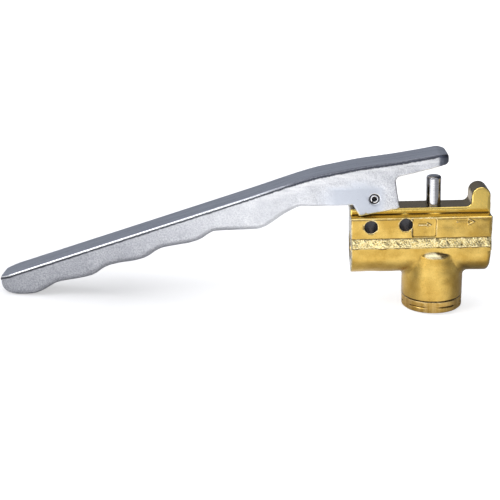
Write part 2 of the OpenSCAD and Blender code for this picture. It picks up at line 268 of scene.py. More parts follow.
def polygon(u, v, corners):
    """Distance of a closed outline in the plane of u and v."""
    nearest = np.full(np.broadcast_shapes(u.shape, v.shape), 1e9, np.float32)
    inside = np.zeros(nearest.shape, bool)
    for (ax, ay), (bx, by) in zip(corners, corners[1:] + corners[:1]):
        ex, ey = bx - ax, by - ay
        t = np.clip(((u - ax) * ex + (v - ay) * ey) / (ex * ex + ey * ey), 0, 1)
        nearest = np.minimum(nearest, np.hypot(u - ax - t * ex, v - ay - t * ey))
        if ay != by:
            crosses = ((ay > v) != (by > v)) & (u < ax + (v - ay) * ex / ey)
            inside ^= crosses
    return np.where(inside, -nearest, nearest)


# ---- Forged body ----

def barrel_and_block(block):
    """Half-round barrel with a rounded outlet rim, and the block above it."""
    x, y, z = block.x, block.y, block.z
    rim, end_edge, top_edge = 1.8, 0.5, 0.9
    barrel = rounded_corner(np.hypot(y, z - flow_z) - barrel_r, x - outlet_x, rim)
    upper = rounded_corner(np.abs(y) - barrel_r, z - LEDGE_Z, top_edge)
    upper = trim(np.maximum(upper, flow_z - z), x - outlet_x, end_edge)
    return trim(np.minimum(barrel, upper), inlet_x - x, INLET_EDGE)


def shoulder_facet(block):
    """Distance of the bowed cone that leans from the boss's side in to the barrel's side."""
    low, high, bow = 25.6, 27.35, 0.018
    lean = math.atan2(boss_r - barrel_r + 0.1, high - low)
    radial = np.hypot(block.x, block.y)
    return ((radial - boss_r) * math.cos(lean)
            + (block.z - low - bow * block.x ** 2) * math.sin(lean))


def with_boss(block, form, facet):
    """form and the boss, blended in at its sides and left crisp in front, where its shoulder shows."""
    radial = np.hypot(block.x, block.y)
    boss = trim(trim(radial - boss_r, facet, 0.25), body_low[2] - block.z, 0.35)
    crisp_half, spread = 6.2, 5.5
    blend = 0.3 + 1.7 * np.clip((np.abs(block.x) - crisp_half) / spread, 0, 1) ** 1.5
    return join(form, boss, blend)


def with_flash(block, form):
    """form and the band where its flash was trimmed, rough and slightly proud."""
    end, reach = 0.6, barrel_r + BAND_PROUD
    band = brick(block, (inlet_x + end, -reach, BAND[0]), (outlet_x - end, reach, BAND[1]), 0.25)
    chips = waves(block, 0.9, 3) + 0.7 * waves(block, 0.5, 4)
    return np.minimum(form, band - 0.08 * chips - 0.16 * waves(block, 2.4, 7))


def with_panels(block, form):
    """form with a sunk panel on each side, and with plain flow arrows, raised as outlines."""
    side = np.abs(block.y)
    past = barrel_r + 20
    low = (PANEL_X[0], -past, BAND[1] + 0.7)
    high = (PANEL_X[1], past, LEDGE_Z - 0.5)
    sunk = np.maximum(brick(block, low, high, 0.3), barrel_r - PANEL_DEPTH - side)
    form = cut(form, sunk, 0.12)
    for start, height, length, depth in ((-7.6, 40.0, 5.8, PANEL_DEPTH), (8.2, 41.2, 8.0, 0.0)):
        face = barrel_r - depth
        flat = polygon(block.x, block.z, arrow_outline(start, height, length))
        raised = rounded_corner(flat, side - (face + ARROW_PROUD), 0.12)
        inside = np.maximum(flat + ARROW_LINE, face - side)
        raised = np.maximum(raised, -inside)
        form = np.minimum(form, np.maximum(raised, barrel_r - 2 - side))
    return form


def rail_and_horn(block):
    """Rail with the horn at its outlet end: one profile, with a fillet at the horn's foot."""
    x, z = block.x, block.z
    horn_r = HORN_W / 2
    horn_x = outlet_x - horn_r
    horn = np.hypot(x - horn_x, np.maximum(z - (HORN_TOP_Z - horn_r), 0)) - horn_r
    profile = join(z - RAIL_Z, horn, 2.4)
    profile = trim(profile, x - outlet_x, 0.4)
    profile = trim(profile, inlet_x - x, INLET_EDGE)
    rail = rounded_corner(profile, np.abs(block.y) - RAIL_HALF, 0.5)
    return np.maximum(rail, LEDGE_Z - 3 - z)


def ear(block):
    """Ear that stands between the lever's cheeks and holds the pin."""
    profile = np.hypot(block.x - pivot[0], np.maximum(block.z - pivot[2], 0)) - ear_r
    rounded = rounded_corner(profile, np.abs(block.y) - RAIL_HALF, 0.4)
    return np.maximum(rounded, RAIL_Z - 2 - block.z)


def struck_area(block, facet):
    """1 on the smooth crescent of the shoulder's facet, front and back."""
    middle_x, half, fade, from_side = 0.5, 5.3, 0.6, 11
    on_facet = np.clip(1.5 - np.abs(facet) / 0.2, 0, 1)
    within = np.clip((half - np.abs(block.x - middle_x)) / fade, 0, 1)
    return on_facet * within * (np.abs(block.y) > from_side)


def threaded_port(block, face_x, way, depth):
    """Blind port with a chamfered mouth and thread ridges; way is the direction out of it."""
    radial = np.hypot(block.y, block.z - flow_z)
    deep = (face_x - block.x) * way
    angle = np.arctan2(block.z - flow_z, block.y) / (2 * math.pi)
    turn = np.mod(deep / THREAD_PITCH + way * angle, 1)
    ridge = np.abs(2 * turn - 1)
    fade = np.clip((depth - 1.5 - deep) / 2, 0, 1)
    hole = radial - port_r - THREAD_DEPTH * (1 - ridge) * fade
    mouth = (radial - port_r - 1.1 + np.maximum(deep, 0)) * math.sqrt(0.5)
    return np.maximum(np.minimum(hole, mouth), span(deep, -5, depth))


def stepped_bore(block):
    """Bore along the stem: each step fits round the piece that sits in it."""
    radial = np.hypot(block.x, block.y)
    fit = 0.05
    cap_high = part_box("bottom_cap")[1] / MM
    ring_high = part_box("cap_o_ring")[1] / MM
    seat_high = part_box("valve_seat")[1] / MM
    wiper_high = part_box("stem_wiper")[1] / MM
    clip_low, clip_high = place(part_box("bushing_retaining_ring"))
    steps = [(CAP_PLUG_R + fit, cap_high[2] + 0.1), (ring_high[0] + fit, ring_high[2] + 0.1),
             (seat_high[0] + fit, seat_high[2] + fit), (wiper_high[0] + fit, wiper_high[2] + fit),
             (stem_r + fit, RAIL_Z + 5)]
    bore = np.full((1, 1, 1), 1e9, np.float32)
    for r, top in steps:
        bore = np.minimum(bore, np.maximum(radial - r, block.z - top))
    groove = np.maximum(radial - clip_high[0] - fit,
                        span(block.z, clip_low[2] - fit, clip_high[2] + fit))
    return np.minimum(bore, groove)


def passages(block, inlet_end_x):
    """Sloping passage from the inlet port into the chamber, and the one to the outlet port."""
    radius, drop, below = 2.5, math.radians(24), 2.8
    dx, dz = block.x - inlet_end_x, block.z - (flow_z - below)
    along = dx * math.cos(drop) - dz * math.sin(drop)
    off = dx * math.sin(drop) + dz * math.cos(drop)
    sloping = np.maximum(np.hypot(off, block.y) - radius, span(along, -1.6, 16.4))
    out_z = 30.7
    outward = np.maximum(np.hypot(block.y, block.z - out_z) - radius, span(block.x, 0, 13))
    return np.minimum(sloping, outward)


def drilled(block, form):
    """(form with all its holes, 1 where a fixing hole's wall is and 0 elsewhere)."""
    x, z = block.x, block.z
    side = np.abs(block.y)
    inlet_end = inlet_at[0] + inlet_len / 2 + 0.05
    outlet_end = outlet_at[0] - outlet_len / 2
    form = np.maximum(form, -threaded_port(block, inlet_x, -1, inlet_end - inlet_x))
    form = np.maximum(form, -threaded_port(block, outlet_x, 1, outlet_x - outlet_end))
    form = np.maximum(form, -passages(block, inlet_end))
    form = cut(form, stepped_bore(block), 0.12)
    bored = np.zeros((1, 1, 1), np.float32)
    for at, radius, _ in fixing_holes:
        hole = np.hypot(x - at[0], z - at[2]) - radius
        form = cut(form, hole, 0.35)
        wall = np.clip((0.5 - hole) / 0.3, 0, 1) * np.clip((barrel_r - 0.3 - side) / 0.4, 0, 1)
        bored = np.maximum(bored, wall)
    pin_hole = np.hypot(x - pivot[0], z - pivot[2]) - pin_r - 0.015
    return cut(form, pin_hole, 0.12), bored


def body_forging():
    """Forged tee body. struck and bored mark where colour is painted: a painted reflection on the
    shoulder's crescent, painted shade in the fixing holes.
    """
    margin = np.array([1.2, 1.2, 1.2])
    block = Block(np.array([inlet_x, -boss_r, body_low[2]]) - margin,
                  np.array([outlet_x, boss_r, body_high[2]]) + margin, 0.28)
    facet = shoulder_facet(block)
    form = with_boss(block, barrel_and_block(block), facet)
    form = with_panels(block, with_flash(block, form))
    form = join(form, rail_and_horn(block), 0.25)
    form = np.minimum(form, ear(block))

    # gentle unevenness of the forged skin, none on the rail's ground top
    skin = np.clip((LEDGE_Z + 1 - block.z) / 2, 0, 1)
    facet_and_reflection = struck_area(block, facet)
    uneven = 0.065 * waves(block, 5.5, 5) + 0.03 * waves(block, 2.0, 6)
    form, bored = drilled(block, form - skin * (1 - facet_and_reflection) * uneven)
    made = block.to_object("body_forging", form, 0.02, {"facet_and_reflection": facet_and_reflection, "bored": bored})
    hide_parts("valve_body")
    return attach(made, "body")


# ---- Cap, pin and stem ----

def cap_turning():
    """Turned cap with six shallow wrench flats that still carry the streaks of their cutter."""
    low, high = place(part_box("bottom_cap"))
    block = Block(low - 0.6, high + 0.6, 0.22)
    x, y, z = block.x, block.y, block.z
    radial = np.hypot(x, y)
    flange_z, pocket_r, pocket_z = 5.15, 6.55, 5.6
    groove_z, groove_depth = 2.6, 0.4
    flats, flat_depth, flat_turn = 6, 0.42, math.radians(-5.5)
    groove = np.maximum(groove_depth - np.abs(z - groove_z), 0)
    form = rounded_corner(radial - boss_r + groove, low[2] - z, 0.9)
    form = trim(form, z - flange_z, 0.2)
    for i in range(flats):
        turn = 2 * math.pi * i / flats - math.pi / 2 + flat_turn
        along = y * math.cos(turn) - x * math.sin(turn)
        streaks = 0.03 * (np.sin(5.1 * along) + np.sin(8.3 * along + i) + np.sin(13.0 * along + 2 * i))
        out = x * math.cos(turn) + y * math.sin(turn) - (boss_r - flat_depth)
        form = trim(form, out - streaks, 0.08)
    plug = rounded_corner(radial - CAP_PLUG_R, z - high[2], 0.5)
    form = np.minimum(form, np.maximum(plug, flange_z - 1 - z))
    form = cut(form, np.maximum(radial - pocket_r, pocket_z - z), 0.2)
    made = block.to_object("cap_turning", form, 0.02)
    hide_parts("bottom_cap")
    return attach(made, "body")


def spring_pin():
    """Slotted spring pin: a rolled tube with chamfered ends and an open seam."""
    block = Block(pin_low - 0.3, pin_high + 0.3, 0.12)
    across, up = block.x - pivot[0], block.z - pivot[2]
    side = np.abs(block.y)
    radial = np.hypot(across, up)
    wall, seam_half, seam_turn = 0.85, 0.3, math.radians(-120)
    form = trim(radial - pin_r, (radial - pin_r + side - pin_high[1] + 0.45) * math.sqrt(0.5), 0.05)
    form = trim(form, side - pin_high[1], 0.05)
    form = np.maximum(form, pin_r - wall - radial)
    seam = np.abs(across * math.sin(seam_turn) - up * math.cos(seam_turn)) - seam_half
    seam = np.maximum(seam, -across * math.cos(seam_turn) - up * math.sin(seam_turn))
    form = cut(form, seam, 0.05)
    made = block.to_object("spring_pin", form, 0.02)
    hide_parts("pivot_pin")
    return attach(made, "body")


def cad_distance(block, node, reach):
    """Distance of a CAD node's solid on the block's grid, right within reach millimetres."""
    mesh = nodes[node].data
    mesh.calc_loop_triangles()
    points = np.zeros(len(mesh.vertices) * 3, np.float32)
    mesh.vertices.foreach_get("co", points)
    corners = np.zeros(len(mesh.loop_triangles) * 3, np.int32)
    mesh.loop_triangles.foreach_get("vertices", corners)
    points = (points.reshape(-1, 3) / MM - block.low) / block.step
    grid = openvdb.FloatGrid.createLevelSetFromPolygons(
        points, triangles=corners.reshape(-1, 3),
        transform=openvdb.createLinearTransform(voxelSize=1.0), halfWidth=reach / block.step)
    distance = np.zeros(block.shape, np.float32)
    grid.copyToArray(distance)
    return distance * block.step


def stem_rod():
    """The CAD stem with its top edge rounded further."""
    block = Block(stem_low - 0.6, stem_high + 0.6, 0.2)
    dome = rounded_corner(np.hypot(block.x, block.y) - stem_r, block.z - stem_high[2], 1.1)
    form = np.maximum(cad_distance(block, "stem", 1.0), dome)
    made = block.to_object("stem_rod", form, 0.01)
    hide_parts("stem")
    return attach(made, "plunger")


# ---- Cast lever ----

def lever_plan(block, border):
    """View from above: round nose, tip with rounded corners, and draft over the border."""
    x, side = block.x, np.abs(block.y)
    nose_x = lever_low[0] + lever_half
    tip_r, draft_height, draft = 4.6, 12, 0.035
    nose = np.hypot(np.minimum(x - nose_x, 0), side) - lever_half
    tip = np.hypot(np.maximum(x - (lever_high[0] - tip_r), 0),
                   np.maximum(side - (lever_half - tip_r), 0)) - tip_r
    return np.maximum(nose, tip) + np.clip(block.z - border, 0, draft_height) * draft


def lever_slot(block):
    """Room between the cheeks for the rail and the ear."""
    x, z = block.x, block.z
    clearance, behind, past_rail = 0.6, 2.6, 30
    over_ear = np.hypot(x - pivot[0], z - pivot[2]) - ear_r - clearance
    over_rail = np.maximum(np.maximum(pivot[0] - ear_r - behind - x, x - past_rail), z - pivot[2])
    slot = np.minimum(over_ear, over_rail)
    return np.maximum(np.maximum(slot, np.abs(block.y) - SLOT_HALF), LEDGE_Z - 6 - z)


def lever_casting():
    """Cast lever. below_back is the depth under its back in millimetres, and pad marks the smooth
    area beside the pin."""
    block = Block(lever_low - 1.5, lever_high + 1.5, 0.3)
    x, z = block.x, block.z
    side = np.abs(block.y)

    # side view of the CAD lever, and the heights of its back and of its underside at each x
    outline = cad_distance(block, "lever", 4.0).min(axis=1, keepdims=True)
    solid = outline < 0
    back_z = np.where(solid, z, -1e3).max(axis=2, keepdims=True)
    under_z = np.where(solid, z, 1e3).min(axis=2, keepdims=True)

    # long edges: nearly sharp along the ground back, round below, softer on the long arm
    border = pivot[2] + 7.5 - 0.012 * (x - pivot[0] + 6) ** 2
    plan = lever_plan(block, border)
    arm = np.clip((pivot[0] - 18 - x) / 20, 0, 1)
    high = np.clip((z - under_z) / np.maximum(back_z - under_z, 1) * 4 - 2.6, 0, 1)
    rounding = (0.7 + 2.3 * arm) * (1 - high) + 0.35 * high
    form = rounded_corner(outline, plan, rounding)
    polished = np.clip((-58 - x) / 12, 0, 1)
    chamfer = (outline + plan + 0.36 * polished) * math.sqrt(0.5)
    form = np.maximum(form, chamfer - 4 * (1 - high))
    form = cut(form, lever_slot(block), 0.35)
    form = cut(form, np.hypot(x - pivot[0], z - pivot[2]) - pin_r - 0.05, 0.1)

    # cast skin on the sides, but not on the back, in the slot or on the pad
    pad = (np.clip((border - z) / 1.2, 0, 1) * np.clip((pivot[0] + 5 - x) / 3, 0, 1)
           * np.clip((x - pivot[0] + 26) / 10, 0, 1))
    skin = 0.12 * waves(block, 5.5, 10) + 0.05 * waves(block, 2.2, 11) + 0.015 * waves(block, 0.9, 12)
    form = form - skin * np.clip((side - 5) / 3, 0, 1) * np.clip((back_z - z - 1) / 3, 0, 1) * (1 - pad)
    made = block.to_object("lever_casting", form, 0.02, {"below_back": back_z - z, "pad": pad})
    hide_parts("lever")
    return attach(made, "lever")


# ---- Materials ----

class Graph:
    """Node tree with short helpers. A value is a socket, a number or, as a colour, a tuple."""

    def __init__(self, tree, coordinates):
        self.tree = tree
        self.coords = self.node("ShaderNodeTexCoord").outputs[coordinates]

    def node(self, kind, **settings):
        made = self.tree.nodes.new(kind)
        for key, setting in settings.items():
            setattr(made, key, setting)
        return made

    def feed(self, socket, value):
        if isinstance(value, bpy.types.NodeSocket):
            self.tree.links.new(value, socket)
        elif isinstance(value, tuple):
            socket.default_value = (*value, 1)
        else:
            socket.default_value = value

    def noise(self, scale, detail=4.0, roughness=0.6, stretch=None):
        """Noise value; scale is in bumps per metre, stretch scales the coordinates."""
        made = self.node("ShaderNodeTexNoise")
        made.inputs["Scale"].default_value = scale
        made.inputs["Detail"].default_value = detail
        made.inputs["Roughness"].default_value = roughness
        source = self.coords
        if stretch:
            mapping = self.node("ShaderNodeMapping")
            mapping.inputs["Scale"].default_value = stretch
            self.feed(mapping.inputs["Vector"], self.coords)
            source = mapping.outputs["Vector"]
        self.feed(made.inputs["Vector"], source)
        return made.outputs["Fac"]

    def remap(self, value, from_low, from_high, to_low, to_high):
        made = self.node("ShaderNodeMapRange", clamp=True)
        for key, number in zip(("Value", "From Min", "From Max", "To Min", "To Max"),
                               (value, from_low, from_high, to_low, to_high)):
            self.feed(made.inputs[key], number)
        return made.outputs["Result"]

    def ramp(self, place, low, high, to_low, to_high):
        """remap of a coordinate, with low and high in millimetres."""
        return self.remap(place, low * MM, high * MM, to_low, to_high)

    def smooth(self, value, low, high):
        """0 to 1 as value goes from low to high, eased at both ends."""
        made = self.node("ShaderNodeMapRange", interpolation_type="SMOOTHSTEP")
        for key, number in zip(("Value", "From Min", "From Max"), (value, low, high)):
            self.feed(made.inputs[key], number)
        return made.outputs["Result"]

    def math(self, operation, a, b=0):
        made = self.node("ShaderNodeMath", operation=operation)
        self.feed(made.inputs[0], a)
        self.feed(made.inputs[1], b)
        return made.outputs["Value"]

    def times(self, product, *others):
        for other in others:
            product = self.math("MULTIPLY", product, other)
        return product

    def without(self, value):
        """1 where value is 0, and 0 where it is 1."""
        return self.math("SUBTRACT", 1.0, value)

    def blend(self, factor, a, b):
        """Mix of two colours."""
        made = self.node("ShaderNodeMix", data_type="RGBA")
        self.feed(made.inputs["Factor"], factor)
        for key, colour in (("A", a), ("B", b)):
            socket = [s for s in made.inputs if s.name == key and s.type == "RGBA"][0]
            self.feed(socket, colour)
        return [s for s in made.outputs if s.type == "RGBA"][0]

    def axis(self, name):
        made = self.node("ShaderNodeSeparateXYZ")
        self.feed(made.inputs["Vector"], self.coords)
        return made.outputs[name]


class Paint(Graph):
    """Material of a piece, in the piece's own coordinates."""

    def __init__(self, name):
        self.material = bpy.data.materials.new(name)
        self.material.use_nodes = True
        super().__init__(self.material.node_tree, "Object")
        self.shader = self.tree.nodes["Principled BSDF"]

    def mark(self, name, low, high):
        """0 to 1 as the mesh's own attribute goes from low to high."""
        made = self.node("ShaderNodeAttribute", attribute_name=name)
        return self.remap(made.outputs["Fac"], low, high, 0, 1)

    def edges_and_corners(self, low, high):
        """0 on flat places, 1 on outer edges, or in inner corners where low and high are below 0."""
        return self.mark("convexity", low, high)

    def bump(self, height, distance, strength):
        made = self.node("ShaderNodeBump")
        made.inputs["Distance"].default_value = distance
        made.inputs["Strength"].default_value = strength
        self.feed(made.inputs["Height"], height)
        return made.outputs["Normal"]

    def surface(self, colour, roughness, normal, metallic=1.0):
        for key, value in (("Base Color", colour), ("Roughness", roughness), ("Normal", normal),
                           ("Metallic", metallic)):
            self.feed(self.shader.inputs[key], value)
        return self.material


def forged_skin(p, height, grain, in_band):
    """Colour of the forging: cloudy brass, with painted shade low down, and the chipped band with
    painted shadow lines along its borders.
    """
    broad = p.noise(110, 4)
    chips = p.noise(1700, 4, 0.8)
    colour = p.blend(p.remap(broad, 0.35, 0.65, 0, 1), (0.53, 0.33, 0.068), (0.73, 0.50, 0.135))
    colour = p.blend(p.remap(grain, 0.52, 0.66, 0, 0.25), colour, (0.36, 0.21, 0.04))
    # painted shade: darker towards the floor
    colour = p.blend(p.ramp(height, 0, 20, 0.35, 0), colour, (0.46, 0.27, 0.06))
    chipped = p.blend(p.remap(chips, 0.40, 0.58, 0, 1), (0.60, 0.43, 0.13), (0.97, 0.85, 0.48))
    colour = p.blend(in_band, colour, chipped)
    # painted shadow lines along the band's proud edges, broken up by noise
    broken = p.remap(broad, 0.40, 0.55, 0.25, 0.75)
    for border in (BAND[0] - 0.15, BAND[1] + 0.15):
        off = p.math("ABSOLUTE", p.math("SUBTRACT", height, border * MM))
        colour = p.blend(p.times(p.ramp(off, 0.08, 0.3, 1, 0), broken), colour, (0.13, 0.075, 0.015))
    return colour


def worked_faces(p, height, colour):
    """Machined inlet face painted grey as a reflection, worn edges lightened also as painted highlights,
    painted shade on the top of the rail, and painted light on the sides of rail and horn.
    """
    # painted reflection: the machined inlet face is grey
    machined = p.ramp(p.axis("X"), inlet_x + 0.2, inlet_x + 0.5, 1, 0)
    colour = p.blend(machined, colour, (0.22, 0.195, 0.15))
    # worn edges, lightened also as painted highlights
    wear_and_highlight = p.times(p.edges_and_corners(0.05, 0.22), p.remap(p.noise(520, 3), 0.42, 0.60, 0.25, 1))
    colour = p.blend(wear_and_highlight, colour, (0.99, 0.86, 0.52))
    flank = p.ramp(p.math("ABSOLUTE", p.axis("Y")), RAIL_HALF - 0.5, RAIL_HALF - 0.2, 0, 1)
    # painted shade: the top of the rail darker
    painted_dark_top = p.times(p.ramp(height, RAIL_Z - 0.15, RAIL_Z - 0.02, 0, 0.7), p.without(flank))
    colour = p.blend(painted_dark_top, colour, (0.20, 0.16, 0.10))
    # painted light: the sides of rail and horn lighter
    light = p.times(p.ramp(height, LEDGE_Z - 0.2, LEDGE_Z - 0.1, 0, 0.8), flank)
    return p.blend(light, colour, (0.99, 0.72, 0.19))


def dark_places(p, colour):
    """Darker in hollows and inner corners, and painted shade on the walls of the fixing holes."""
    colour = p.blend(p.mark("hollow", 0.27, 0.40), colour, (0.075, 0.042, 0.010))
    # painted shade on the walls of the fixing holes
    colour = p.blend(p.mark("bored", 0.2, 0.8), colour, (0.16, 0.13, 0.11))
    return p.blend(p.edges_and_corners(-0.035, -0.19), colour, (0.07, 0.038, 0.008))


def forged_brass():
    p = Paint("forged_brass")
    height = p.axis("Z")
    grain = p.noise(1300, 5, 0.7)
    in_band = p.times(p.ramp(height, BAND[0] - 0.6, BAND[0], 0, 1),
                      p.ramp(height, BAND[1], BAND[1] + 0.5, 1, 0))
    colour = forged_skin(p, height, grain, in_band)
    colour = worked_faces(p, height, colour)
    colour = dark_places(p, colour)

    # the shoulder's crescent, a painted reflection: bright on its left and dark on its right with an
    # uneven border
    facet_and_reflection = p.mark("facet_and_reflection", 0, 1)
    along = p.math("ADD", p.axis("X"), p.times(p.noise(520, 2), 0.003))
    along = p.math("ADD", along, p.times(height, 1.5))
    crescent = p.blend(p.ramp(along, 41.8, 43.0, 0, 1), (0.98, 0.88, 0.58), (0.040, 0.026, 0.006))
    colour = p.blend(facet_and_reflection, colour, crescent)

    seam = p.math("ABSOLUTE", p.math("SUBTRACT", height, body_low[2] * MM))
    colour = p.blend(p.ramp(seam, 0.45, 0.7, 1, 0), colour, (0.05, 0.025, 0.005))
    roughness = p.remap(p.noise(500, 4), 0.3, 0.7, 0.13, 0.28)
    grainy = p.times(p.math("ADD", grain, p.noise(700, 3)), p.remap(in_band, 0, 1, 0.4, 2.0))
    # the crescent is also less metallic, so that its painted reflection shows
    return p.surface(colour, roughness, p.bump(grainy, 0.00009, 0.6), p.without(p.times(facet_and_reflection, 0.6)))


def cap_brass():
    p = Paint("cap_brass")
    broad = p.noise(160, 3)
    turned = p.noise(300, 3, 0.6, (0.4, 0.4, 9.0))
    streaks = p.noise(260, 3, 0.7, (2.0, 2.0, 0.12))
    colour = p.blend(p.remap(broad, 0.3, 0.7, 0, 1), (0.46, 0.27, 0.055), (0.66, 0.42, 0.11))
    colour = p.blend(p.remap(streaks, 0.45, 0.65, 0, 0.5), colour, (0.88, 0.63, 0.25))
    # lighter edges: wear, and painted highlight
    colour = p.blend(p.edges_and_corners(0.08, 0.30), colour, (0.92, 0.70, 0.34))
    colour = p.blend(p.edges_and_corners(-0.03, -0.16), colour, (0.05, 0.028, 0.006))
    roughness = p.remap(turned, 0.3, 0.7, 0.28, 0.42)
    return p.surface(colour, roughness, p.bump(turned, 0.00010, 0.5))


def cast_skin(p, grain, place_x, pad):
    """Colour of the casting: cloudy, speckled at both ends of the lever, even on the pad with painted
    shade, and edges lighter from wear and painted highlight.
    """
    coarse = p.math("MAXIMUM", p.ramp(place_x, -140, -70, 1, 0.35), p.ramp(place_x, -45, -20, 0, 0.65))
    broad = p.noise(60, 4)
    colour = p.blend(p.remap(broad, 0.3, 0.7, 0, 1), (0.74, 0.75, 0.78), (0.92, 0.93, 0.95))
    specks = p.times(p.remap(grain, 0.42, 0.60, 0, 0.85), coarse)
    colour = p.blend(specks, colour, (0.44, 0.45, 0.50))
    cloudy = p.times(p.remap(p.noise(330, 3), 0.42, 0.62, 0, 0.28), coarse)
    colour = p.blend(cloudy, colour, (0.50, 0.51, 0.56))
    # painted shade: the pad darker and bluer
    colour = p.blend(pad, colour, (0.52, 0.55, 0.61))
    # lighter edges: wear, and painted highlight
    return p.blend(p.edges_and_corners(0.05, 0.3), colour, (0.90, 0.91, 0.93))


def lever_ends(p, place_x, below, ragged, colour):
    """Right of the long arm: painted shade on the front edge of the back, painted highlight streaks
    under it, and painted shade on the tip.
    """
    # painted shade on the front edge of the back, right of the long arm
    right = p.ramp(place_x, -85, -60, 0, 0.9)
    front = p.ramp(p.axis("Y"), lever_low[1] + 0.5, lever_low[1] + 0.95, 1, 0)
    edge = p.times(p.math("MAXIMUM", p.remap(below, 0.02, 0.12, 0, 1), front),
                   p.remap(ragged, 0.9, 1.4, 1, 0))
    colour = p.blend(p.times(right, edge), colour, (0.08, 0.085, 0.11))
    # painted highlight: white streaks under the back
    streaks = p.noise(260, 4, 0.7, (0.35, 1.0, 2.0))
    painted_streaks = p.times(p.remap(below, 1.3, 1.7, 0, 1), p.remap(below, 2.6, 5.5, 1, 0),
                      p.remap(streaks, 0.42, 0.58, 0.1, 1), right)
    colour = p.blend(painted_streaks, colour, (0.99, 0.99, 1.0))
    # painted shade on the tip's end
    tip = p.times(p.ramp(place_x, lever_high[0] - 5.4, lever_high[0] - 4.4, 0, 0.88),
                  p.remap(below, 0.2, 0.6, 0, 1))
    return p.blend(tip, colour, (0.10, 0.115, 0.16))


def cast_aluminium():
    p = Paint("cast_aluminium")
    grain = p.noise(1500, 4, 0.75)
    pad = p.mark("pad", 0, 1)
    below = p.node("ShaderNodeAttribute", attribute_name="below_back").outputs["Fac"]
    place_x = p.axis("X")
    colour = cast_skin(p, grain, place_x, pad)

    # ground back, with a painted highlight on the lip along the long arm and a ragged line of painted
    # shade under it
    ground = p.remap(below, 0.1, 0.5, 1, 0)
    brushed = p.noise(220, 4, 0.7, (0.12, 2.5, 1.0))
    sheen = p.blend(p.remap(brushed, 0.35, 0.65, 0, 1), (0.58, 0.60, 0.66), (0.74, 0.76, 0.81))
    colour = p.blend(ground, colour, sheen)
    # painted highlight: a white lip along the long arm, also smoother and less metallic
    bright = p.times(p.remap(below, 0.02, 0.10, 0, 1), p.remap(below, 0.42, 0.55, 1, 0),
                     p.ramp(place_x, -125, -62, 1, 0))
    colour = p.blend(bright, colour, (0.97, 0.97, 0.98))
    ragged = p.math("ADD", below, p.remap(grain, 0.35, 0.65, -0.25, 0.25))
    # painted shade: the dark ragged line under the lip
    line = p.times(p.remap(below, 0.48, 0.62, 0, 1), p.remap(ragged, 1.15, 1.6, 1, 0), 0.95)
    colour = p.blend(line, colour, (0.06, 0.065, 0.08))
    colour = lever_ends(p, place_x, below, ragged, colour)

    roughness = p.math("SUBTRACT", p.remap(grain, 0.3, 0.7, 0.26, 0.42), p.times(bright, 0.18))
    pitted = p.math("ADD", grain, p.times(p.noise(2400, 3, 0.6), 0.4))
    calm = p.math("MAXIMUM", p.math("MAXIMUM", ground, pad), bright)
    rough = p.bump(p.times(pitted, p.without(calm)), 0.00035, 0.7)
    return p.surface(colour, roughness, rough, p.without(p.times(bright, 0.45)))


def spring_steel():
    """Oiled black pin and springs; the pin's cut ends are bright: bare metal, and partly a painted
    highlight.
    """
    p = Paint("spring_steel")
    ground = p.noise(500, 3, 0.6, (0.4, 0.4, 8.0))
    colour = p.blend(p.remap(ground, 0.3, 0.7, 0, 1), (0.06, 0.06, 0.07), (0.20, 0.20, 0.22))
    # bright cut ends: bare metal, and partly a painted highlight
    end = p.ramp(p.math("ABSOLUTE", p.axis("Y")), pin_high[1] - 0.12, pin_high[1] - 0.04, 0, 1)
    colour = p.blend(end, colour, (0.86, 0.86, 0.88))
    return p.surface(colour, p.remap(ground, 0.3, 0.7, 0.22, 0.36), p.bump(ground, 0.00003, 0.4))


def turned_metal(name, noise, dark, light, low, high, grooves):
    """Lathe-turned metal with its roughness between low and high."""
    p = Paint(name)
    turned = p.noise(*noise)
    colour = p.blend(p.remap(turned, 0.3, 0.7, 0, 1), dark, light)
    return p.surface(colour, p.remap(turned, 0.3, 0.7, low, high), p.bump(turned, grooves, 0.4))


def moulded(name, dark, light, low, high):
    p = Paint(name)
    mottle = p.noise(700, 4)
    colour = p.blend(p.remap(mottle, 0.3, 0.7, 0, 1), dark, light)
    return p.surface(colour, p.remap(mottle, 0.3, 0.7, low, high), p.bump(mottle, 0.00004, 0.4), 0.0)


def paint_nodes():
    """Every CAD node takes the material of its slot in the record."""
    finishes = {
        "forged_brass": forged_brass(),
        "cap_brass": cap_brass(),
        "turned_brass": turned_metal("turned_brass", (400, 3, 0.6, (0.3, 0.3, 10.0)),
                                     (0.66, 0.44, 0.13), (0.76, 0.55, 0.20), 0.2, 0.32, 0.00004),
        "cast_aluminium": cast_aluminium(),
        "ground_steel": turned_metal("ground_steel", (500, 3, 0.6, (0.4, 0.4, 8.0)),
                                     (0.50, 0.50, 0.52), (0.70, 0.70, 0.72), 0.10, 0.18, 0.00003),
        "spring_steel": spring_steel(),
        "black_rubber": moulded("black_rubber", (0.010, 0.010, 0.011), (0.025, 0.025, 0.026),
                                0.45, 0.62),
        "white_ptfe": moulded("white_ptfe", (0.76, 0.76, 0.73), (0.86, 0.86, 0.84), 0.35, 0.50),
        "amber_urethane": moulded("amber_urethane", (0.48, 0.27, 0.05), (0.60, 0.36, 0.08),
                                  0.30, 0.45),
    }
    for part in record["subparts"]:
        mesh = nodes[part["node"]].data
        mesh.materials.clear()
        mesh.materials.append(finishes[part["material_slot"]])
    return finishes


# ---- Stage ----

